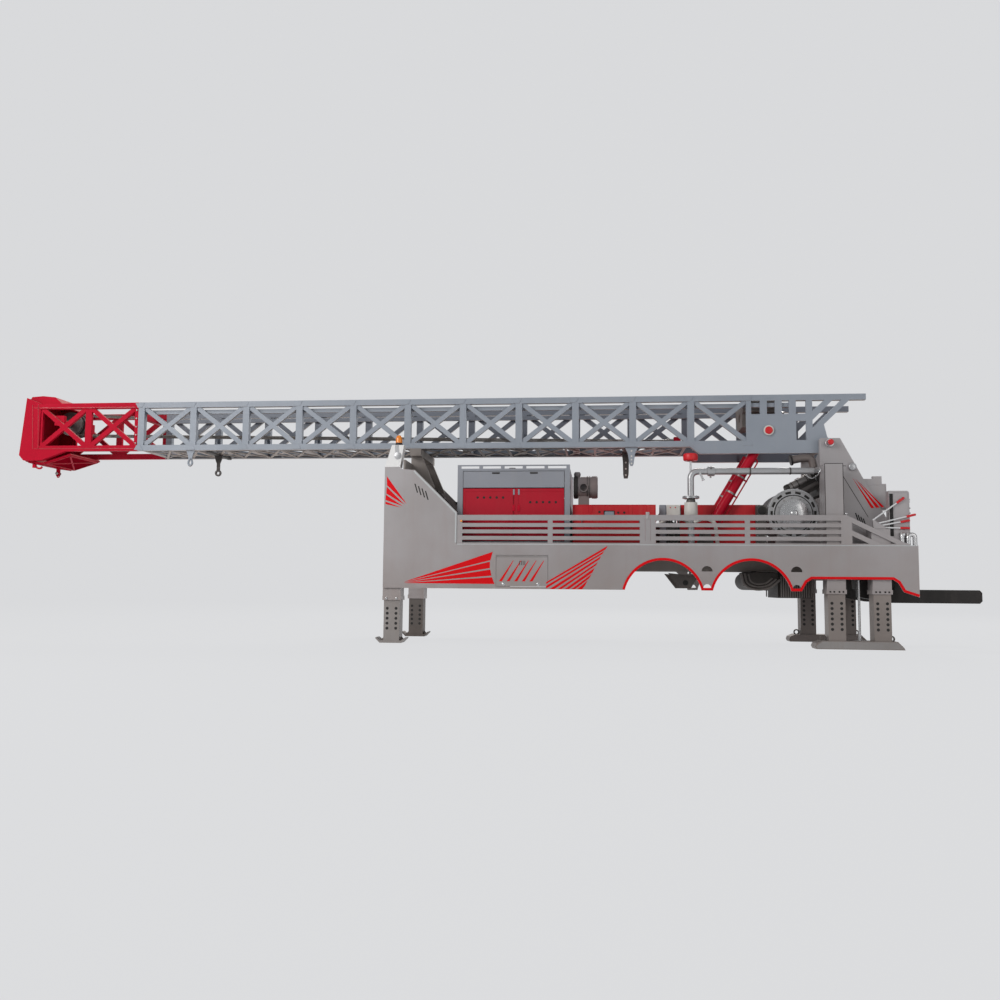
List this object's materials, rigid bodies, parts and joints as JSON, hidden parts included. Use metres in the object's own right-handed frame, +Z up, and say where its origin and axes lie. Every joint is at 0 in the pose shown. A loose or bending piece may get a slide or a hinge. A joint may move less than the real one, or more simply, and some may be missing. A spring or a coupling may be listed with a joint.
{
  "type": "rotary water-well drilling rig",
  "caption": "Truck-mount rotary drilling rig body on screw jacks: slotted side decks, engine canopy, winch, standpipe and a lattice mast that lies flat and stands up at the rear.",
  "frame": {"origin": "floor level under the middle of the bounding box", "axes": "+X to the rear (drilling end), +Y to the vehicle's right side, +Z up"},
  "size_m": [16.622, 2.514, 4.366],
  "materials": {
    "silver": "satin silver-grey paint",
    "mast_grey": "satin blue-grey paint",
    "red": "gloss crimson paint",
    "white": "gloss white paint",
    "amber": "clear amber plastic",
    "dark_steel": "dark painted steel",
    "black": "satin black paint",
    "steel": "bright steel",
    "chrome": "hard chrome",
    "brown_grey": "dusty grey-brown paint"
  },
  "bodies": {
    "carrier": {"air_cleaner": "dark_steel", "beacons": "amber", "brake_motor": "brown_grey", "cabinets": "red", "canopy_doors": "red", "control_cabinets": "silver", "control_levers": "steel", "cylinder_feet": "dark_steel", "deck": "silver", "engine_block": "dark_steel", "engine_canopy": "mast_grey", "front_panels": "silver", "hand_valve": "red", "horns": "white", "jack_sleeves": "silver", "mast_rest": "brown_grey", "mud_pump": "dark_steel", "operator_panel": "silver", "railings": "silver", "rear_arms": "black", "rear_frames": "silver", "rear_pipes": "steel", "skirt_left": "silver", "skirt_right": "silver", "standpipe": "steel", "subframe": "dark_steel", "underbody": "dark_steel", "valve_tray": "mast_grey", "winch_gearbox": "dark_steel", "winch_stand": "silver"},
    "mast": {"mast_side_left": "mast_grey", "mast_side_right": "mast_grey", "mast_knees": "mast_grey", "mast_floor": "mast_grey", "mast_base": "mast_grey", "guide_rails": "mast_grey", "crown_frame": "red", "crown_hood": "red", "mast_hangers": "mast_grey"},
    "rotary_head": {"rotary_head": "brown_grey"},
    "spindle": {"spindle": "steel"},
    "crown_sheaves": {"crown_sheaves": "steel"},
    "winch_drum": {"winch_drum": "steel"},
    "lift_barrels": {"lift_barrels": "red"},
    "lift_rods": {"lift_rods": "chrome"},
    "jack_front_left": {"jack_leg_front_left": "silver"},
    "jack_front_right": {"jack_leg_front_right": "silver"},
    "jack_rear_left": {"jack_legs_rear_left": "silver"},
    "jack_rear_right": {"jack_legs_rear_right": "silver"},
    "hatch_left": {"hatch_left": "silver"},
    "hatch_right": {"hatch_right": "silver"},
    "canopy_flap_left": {"canopy_flap_left": "silver"},
    "canopy_flap_right": {"canopy_flap_right": "silver"}
  },
  "joints": [
    {"name": "mast_raise", "type": "hinge", "parent": "carrier", "child": "mast", "pos_m": [5.989, 0, 3.35], "axis": [0, 1, 0], "range_deg": [0, 90]},
    {"name": "barrel_turn", "type": "hinge", "parent": "carrier", "child": "lift_barrels", "pos_m": [3.989, 0, 1.83], "axis": [0, 1, 0], "range_deg": [0, 11.88]},
    {"name": "rod_slide", "type": "slide", "parent": "lift_barrels", "child": "lift_rods", "axis": [0.5123, 0, 0.8588], "range_m": [0, 1.295]},
    {"name": "head_travel", "type": "slide", "parent": "mast", "child": "rotary_head", "axis": [-1, 0, 0], "range_m": [0, 10]},
    {"name": "spindle_spin", "type": "hinge", "parent": "rotary_head", "child": "spindle", "pos_m": [5.089, 0, 3.9], "axis": [1, 0, 0], "continuous": true},
    {"name": "sheave_spin", "type": "hinge", "parent": "mast", "child": "crown_sheaves", "pos_m": [-7.611, 0, 3.9], "axis": [0, 1, 0], "continuous": true},
    {"name": "drum_spin", "type": "hinge", "parent": "carrier", "child": "winch_drum", "pos_m": [5.427, 0, 2.188], "axis": [0, 1, 0], "continuous": true},
    {"name": "jack_front_left", "type": "slide", "parent": "carrier", "child": "jack_front_left", "axis": [0, 0, 1], "range_m": [0, 0.35]},
    {"name": "jack_front_right", "type": "slide", "parent": "carrier", "child": "jack_front_right", "axis": [0, 0, 1], "range_m": [0, 0.35]},
    {"name": "jack_rear_left", "type": "slide", "parent": "carrier", "child": "jack_rear_left", "axis": [0, 0, 1], "range_m": [0, 0.35]},
    {"name": "jack_rear_right", "type": "slide", "parent": "carrier", "child": "jack_rear_right", "axis": [0, 0, 1], "range_m": [0, 0.35]},
    {"name": "hatch_left", "type": "hinge", "parent": "carrier", "child": "hatch_left", "pos_m": [0.949, -1.25, 1.452], "axis": [-1, 0, 0], "range_deg": [0, 100]},
    {"name": "hatch_right", "type": "hinge", "parent": "carrier", "child": "hatch_right", "pos_m": [0.949, 1.25, 1.452], "axis": [1, 0, 0], "range_deg": [0, 100]},
    {"name": "flap_left", "type": "hinge", "parent": "carrier", "child": "canopy_flap_left", "pos_m": [0.799, -0.96, 2.602], "axis": [1, 0, 0], "range_deg": [0, 90]},
    {"name": "flap_right", "type": "hinge", "parent": "carrier", "child": "canopy_flap_right", "pos_m": [0.799, 0.96, 2.602], "axis": [-1, 0, 0], "range_deg": [0, 90]}
  ],
  "couplings": [
    {"joint": "barrel_turn", "follows": "mast_raise", "ratio": 0.1265},
    {"joint": "rod_slide", "follows": "mast_raise", "m_per_rad": 0.8181}
  ]
}
